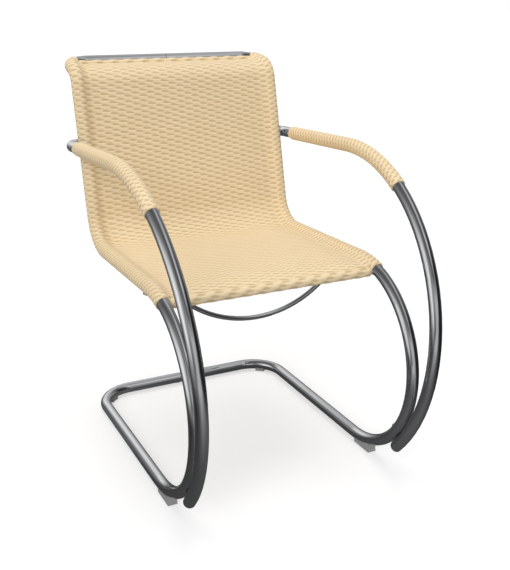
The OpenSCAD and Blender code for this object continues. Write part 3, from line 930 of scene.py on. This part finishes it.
# The light: shares of white from the world, the floor and each sun, whose rows also give
# where it comes from and how wide it is
WORLD_SHARE = 0.50
FLOOR_GLOW = 0.55
FLOOR_PAPER = 0.5
FLOOR_SIZE = 60
FLOOR_DROP = 0.0002
SUN_REACH = 3
SUNS = [("sun_overhead", (0.05, 0.1, 1), 0.40, 40), ("sun_left", (-0.65, -0.7, 0.55), 0.37, 30)]


def shown_rays(finish):
    """1 on the rays that show the background: from the camera, off metal or through glass."""
    camera_rays = finish.node("LightPath", {}, out="Is Camera Ray")
    outputs = camera_rays.socket.node.outputs
    others = [Wire(finish, outputs[kind]) for kind in ("Is Glossy Ray", "Is Transmission Ray")]
    return finish.maths("MINIMUM", camera_rays + others[0] + others[1], 1.0)


bpy.ops.mesh.primitive_plane_add(size=FLOOR_SIZE, location=(0, 0, -FLOOR_DROP))
floor = bpy.context.object
floor.name = "floor"
paper = material("floor_paper")
paper.set(
    Base_Color=(FLOOR_PAPER, FLOOR_PAPER, FLOOR_PAPER, 1),
    Roughness=1.0,
    Emission_Color=(1, 1, 1, 1),
    Emission_Strength=shown_rays(paper) * FLOOR_GLOW,
)
paper.shader.inputs["Specular IOR Level"].default_value = 0
floor.data.materials.append(paper.owner)

bpy.context.scene.world = bpy.data.worlds.new("studio")
studio = Finish(bpy.context.scene.world)
studio.set(Color=(1, 1, 1, 1), Strength=WORLD_SHARE + shown_rays(studio) * (1 - WORLD_SHARE))

for name, source, share, spread in SUNS:
    bpy.ops.object.light_add(type="SUN", location=Vector(source) * SUN_REACH)
    lamp = bpy.context.object
    lamp.name = name
    lamp.data.energy = share * pi
    lamp.data.angle = radians(spread)
    lamp.rotation_euler = Vector(source).to_track_quat("Z", "Y").to_euler()
    lamp.visible_glossy = False

# A studio tent that only the metal sees: white cards on the camera's left and behind the
# chair on that side, a grey card before it, black on the camera's right, and middle greys
# between and above. Its rings lie on the ground, at a distance, or on a dome, at an elevation,
# and have greys at angles from the camera's side, counted anticlockwise from above.
TENT_R = 4
TENT_STEP = 4
TENT_DROP = 0.0001
GROUND = [
    (0, [(0, 72)]),
    (0.5, [(-180, 60), (-120, 95), (-80, 100), (-50, 55), (-20, 66), (45, 95), (90, 60)]),
    (
        0.9,
        [(-180, 70), (-120, 42), (-65, 62), (-40, 42), (-15, 75), (8, 140), (30, 125)]
        + [(53, 72), (79, 28), (111, 36), (150, 60)],
    ),
    (
        1.6,
        [(-180, 100), (-135, 72), (-97, 120), (-65, 170), (-40, 140), (-16, 110), (5, 180)]
        + [(33, 175), (50, 70), (62, 30), (95, 34), (112, 90), (150, 85)],
    ),
]
DOME = [
    (
        3,
        [(-180, 145), (-150, 115), (-125, 90), (-100, 115), (-80, 215), (-55, 250), (-36, 205)]
        + [(-22, 110), (-6, 100), (6, 175), (30, 180), (46, 95), (56, 34), (98, 38)]
        + [(120, 112), (150, 112)],
    ),
    (
        18,
        [(-180, 165), (-160, 205), (-140, 232), (-122, 130), (-100, 112), (-80, 225)]
        + [(-50, 250), (-34, 190), (-20, 140), (-4, 150), (8, 180), (34, 185), (47, 150)]
        + [(57, 50), (64, 30), (98, 30), (118, 112), (145, 150)],
    ),
    (
        32,
        [(-180, 185), (-165, 228), (-138, 230), (-120, 120), (-95, 100), (-75, 165)]
        + [(-50, 215), (-28, 180), (-8, 115), (5, 130), (22, 100), (38, 75), (50, 165)]
        + [(60, 60), (68, 40), (100, 45), (125, 95), (150, 115), (165, 160)],
    ),
    (
        48,
        [(-180, 165), (-150, 120), (-95, 88), (-60, 130), (-35, 150), (-10, 100), (30, 85)]
        + [(42, 180), (60, 215), (76, 120), (110, 85), (140, 80), (165, 150)],
    ),
    (65, [(-180, 185), (-140, 110), (-95, 82), (-40, 100), (30, 85), (60, 190), (150, 180)]),
    (90, [(0, 85)]),
]


def build_tent():
    turns = np.arange(-180, 181, TENT_STEP)
    directions = np.radians(turns + AZIMUTH - 90)
    rings = [(reach, 0, greys) for reach, greys in GROUND] + [(TENT_R, 0, DOME[0][1])]
    rings += [(*polar(TENT_R, rise), greys) for rise, greys in DOME]
    points = [
        np.stack([r * np.cos(directions), r * np.sin(directions), 0 * turns + z - TENT_DROP], -1)
        for r, z, greys in rings
    ]
    tent = grid("studio_tent", np.stack(points))
    levels = np.concatenate([np.interp(turns, *zip(*greys), period=360) for r, z, greys in rings])
    shades = [colour(level, level, level) for level in levels]
    greys = tent.data.color_attributes.new("grey", "FLOAT_COLOR", "POINT")
    greys.data.foreach_set("color", np.array(shades, np.float32).reshape(-1))
    cloth = material("tent_cloth")
    cloth.set(Base_Color=(0, 0, 0, 1), Roughness=1.0, Emission_Strength=1.0)
    cloth.set(Emission_Color=cloth.node("Attribute", {"attribute_name": "grey"}))
    cloth.shader.inputs["Specular IOR Level"].default_value = 0
    tent.data.materials.append(cloth.owner)
    tent.visible_camera = False
    tent.visible_diffuse = False
    tent.visible_shadow = False
    tent.visible_transmission = False


build_tent()

bpy.context.scene.view_settings.view_transform = "Standard"
